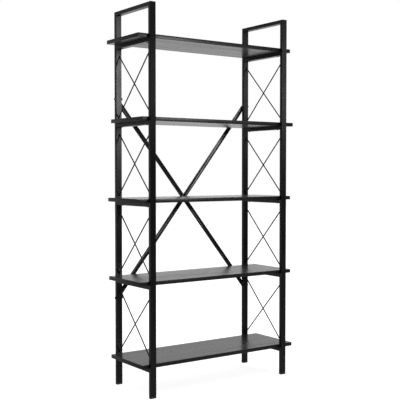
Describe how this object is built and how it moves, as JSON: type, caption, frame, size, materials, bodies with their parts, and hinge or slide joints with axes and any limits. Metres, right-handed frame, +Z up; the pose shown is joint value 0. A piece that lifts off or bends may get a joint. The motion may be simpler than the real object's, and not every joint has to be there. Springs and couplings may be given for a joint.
{
  "type": "open bookcase",
  "caption": "Open metal bookcase with end frames of welded tube, crossed side rods, a flat-bar back brace, black boards that run past the frames, and levelling feet.",
  "frame": {"origin": "on the floor, midway between the four posts", "axes": "+X to the right seen from the front, +Y from the open front towards the braced back, +Z up"},
  "size_m": [0.921, 0.343, 1.8],
  "materials": {
    "frame_powder_coat": "semi-gloss black powder coat with a fine orange-peel texture",
    "board_laminate": "satin black woodgrain melamine on particleboard, with matching edge band",
    "black_plastic": "moulded black plastic, lightly grained",
    "black_zinc": "black zinc plate",
    "zinc_steel": "bright zinc plate"
  },
  "bodies": {
    "bookcase": {"post_front_left": "frame_powder_coat", "post_rear_left": "frame_powder_coat", "post_front_right": "frame_powder_coat", "post_rear_right": "frame_powder_coat", "top_rail_left": "frame_powder_coat", "top_rail_right": "frame_powder_coat", "shelf_rail_left_1": "frame_powder_coat", "shelf_rail_left_2": "frame_powder_coat", "shelf_rail_left_3": "frame_powder_coat", "shelf_rail_left_4": "frame_powder_coat", "shelf_rail_left_5": "frame_powder_coat", "shelf_rail_right_1": "frame_powder_coat", "shelf_rail_right_2": "frame_powder_coat", "shelf_rail_right_3": "frame_powder_coat", "shelf_rail_right_4": "frame_powder_coat", "shelf_rail_right_5": "frame_powder_coat", "side_rod_left_1_rising": "frame_powder_coat", "side_rod_left_1_falling": "frame_powder_coat", "side_rod_left_2_rising": "frame_powder_coat", "side_rod_left_2_falling": "frame_powder_coat", "side_rod_left_3_rising": "frame_powder_coat", "side_rod_left_3_falling": "frame_powder_coat", "side_rod_left_4_rising": "frame_powder_coat", "side_rod_left_4_falling": "frame_powder_coat", "side_rod_right_1_rising": "frame_powder_coat", "side_rod_right_1_falling": "frame_powder_coat", "side_rod_right_2_rising": "frame_powder_coat", "side_rod_right_2_falling": "frame_powder_coat", "side_rod_right_3_rising": "frame_powder_coat", "side_rod_right_3_falling": "frame_powder_coat", "side_rod_right_4_rising": "frame_powder_coat", "side_rod_right_4_falling": "frame_powder_coat", "shelf_board_1": "board_laminate", "shelf_board_2": "board_laminate", "shelf_board_3": "board_laminate", "shelf_board_4": "board_laminate", "shelf_board_5": "board_laminate", "shelf_screws": "black_zinc", "brace_bar_rising": "frame_powder_coat", "brace_bar_falling": "frame_powder_coat", "brace_bolts": "black_zinc", "brace_washers": "black_zinc", "brace_nuts": "black_zinc", "brace_centre_bolt": "black_zinc", "brace_centre_nut": "black_zinc", "foot_cap_front_left": "black_plastic", "foot_cap_rear_left": "black_plastic", "foot_cap_front_right": "black_plastic", "foot_cap_rear_right": "black_plastic", "foot_inserts": "zinc_steel"},
    "pad_front_left": {"foot_pad_front_left": "black_plastic"},
    "stud_front_left": {"foot_stud_front_left": "zinc_steel"},
    "pad_rear_left": {"foot_pad_rear_left": "black_plastic"},
    "stud_rear_left": {"foot_stud_rear_left": "zinc_steel"},
    "pad_front_right": {"foot_pad_front_right": "black_plastic"},
    "stud_front_right": {"foot_stud_front_right": "zinc_steel"},
    "pad_rear_right": {"foot_pad_rear_right": "black_plastic"},
    "stud_rear_right": {"foot_stud_rear_right": "zinc_steel"}
  },
  "joints": [
    {"name": "foot_lower_front_left", "type": "slide", "parent": "bookcase", "child": "pad_front_left", "axis": [0, 0, -1], "range_m": [0, 0.01]},
    {"name": "foot_turn_front_left", "type": "hinge", "parent": "pad_front_left", "child": "stud_front_left", "pos_m": [-0.39, -0.155, 0.02], "axis": [0, 0, -1], "range_deg": [0, 3600]},
    {"name": "foot_lower_rear_left", "type": "slide", "parent": "bookcase", "child": "pad_rear_left", "axis": [0, 0, -1], "range_m": [0, 0.01]},
    {"name": "foot_turn_rear_left", "type": "hinge", "parent": "pad_rear_left", "child": "stud_rear_left", "pos_m": [-0.39, 0.155, 0.02], "axis": [0, 0, -1], "range_deg": [0, 3600]},
    {"name": "foot_lower_front_right", "type": "slide", "parent": "bookcase", "child": "pad_front_right", "axis": [0, 0, -1], "range_m": [0, 0.01]},
    {"name": "foot_turn_front_right", "type": "hinge", "parent": "pad_front_right", "child": "stud_front_right", "pos_m": [0.39, -0.155, 0.02], "axis": [0, 0, -1], "range_deg": [0, 3600]},
    {"name": "foot_lower_rear_right", "type": "slide", "parent": "bookcase", "child": "pad_rear_right", "axis": [0, 0, -1], "range_m": [0, 0.01]},
    {"name": "foot_turn_rear_right", "type": "hinge", "parent": "pad_rear_right", "child": "stud_rear_right", "pos_m": [0.39, 0.155, 0.02], "axis": [0, 0, -1], "range_deg": [0, 3600]}
  ],
  "couplings": [
    {"joint": "foot_turn_front_left", "follows": "foot_lower_front_left", "rad_per_m": 6283.2},
    {"joint": "foot_turn_rear_left", "follows": "foot_lower_rear_left", "rad_per_m": 6283.2},
    {"joint": "foot_turn_front_right", "follows": "foot_lower_front_right", "rad_per_m": 6283.2},
    {"joint": "foot_turn_rear_right", "follows": "foot_lower_rear_right", "rad_per_m": 6283.2}
  ]
}
